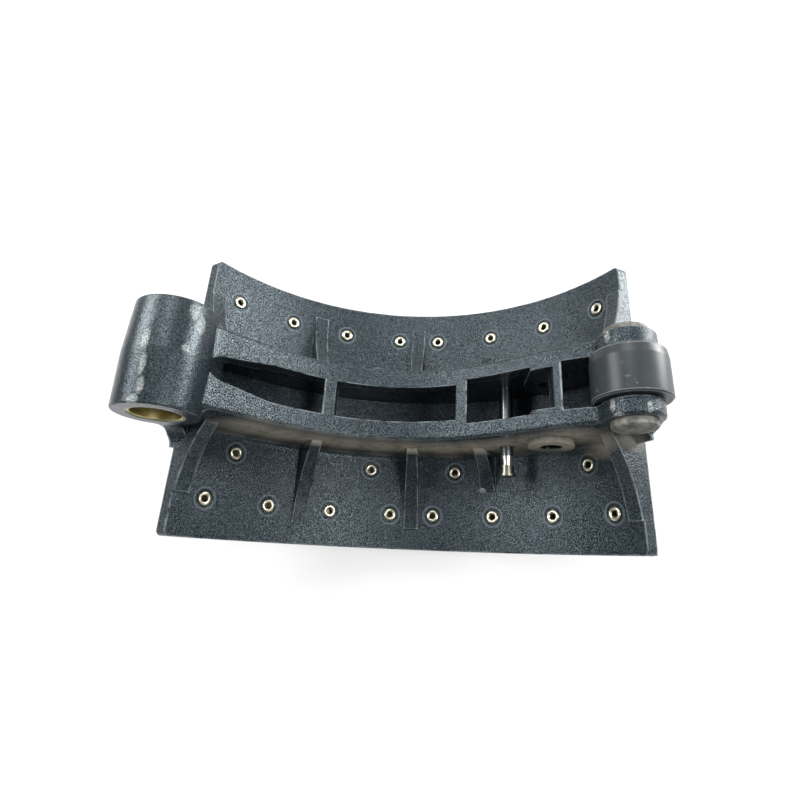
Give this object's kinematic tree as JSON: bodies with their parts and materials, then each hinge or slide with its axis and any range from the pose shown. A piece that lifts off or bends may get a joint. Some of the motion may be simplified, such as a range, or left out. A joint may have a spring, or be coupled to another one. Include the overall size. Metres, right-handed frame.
{
  "type": "brake shoe",
  "caption": "Cast brake shoe of a heavy axle: riveted friction linings under a curved table, a bushed anchor boss, and a cam roller that turns on a pin between two ears.",
  "frame": {"origin": "centre of the anchor bore, midway along it", "axes": "+X along the shoe from the anchor boss to the cam roller, +Y along the drum's axis, +Z towards the drum's axis, on the hollow side of the shoe"},
  "size_m": [0.3508, 0.21, 0.1899],
  "materials": {
    "casting_paint": "satin paint over rough cast iron",
    "lining_composite": "matt moulded friction composite",
    "rivet_brass": "dull tinned brass",
    "bush_brass": "dull",
    "roller_paint": "thin satin paint over turned steel",
    "pin_steel": "turned"
  },
  "bodies": {
    "shoe": {"shoe_casting": "casting_paint", "anchor_bush": "bush_brass", "lining_anchor_side": "lining_composite", "lining_cam_side": "lining_composite", "roller_pin": "roller_paint", "return_spring_pin": "pin_steel", "rivet_01": "rivet_brass", "rivet_02": "rivet_brass", "rivet_03": "rivet_brass", "rivet_04": "rivet_brass", "rivet_05": "rivet_brass", "rivet_06": "rivet_brass", "rivet_07": "rivet_brass", "rivet_08": "rivet_brass", "rivet_09": "rivet_brass", "rivet_10": "rivet_brass", "rivet_11": "rivet_brass", "rivet_12": "rivet_brass", "rivet_13": "rivet_brass", "rivet_14": "rivet_brass", "rivet_15": "rivet_brass", "rivet_16": "rivet_brass", "rivet_17": "rivet_brass", "rivet_18": "rivet_brass", "rivet_19": "rivet_brass", "rivet_20": "rivet_brass", "rivet_21": "rivet_brass", "rivet_22": "rivet_brass", "rivet_23": "rivet_brass", "rivet_24": "rivet_brass"},
    "roller": {"cam_roller": "roller_paint"}
  },
  "joints": [
    {"name": "roller_spin", "type": "hinge", "parent": "shoe", "child": "roller", "pos_m": [0.29537, 0, -0.00989], "axis": [0, 1, 0], "continuous": true}
  ]
}
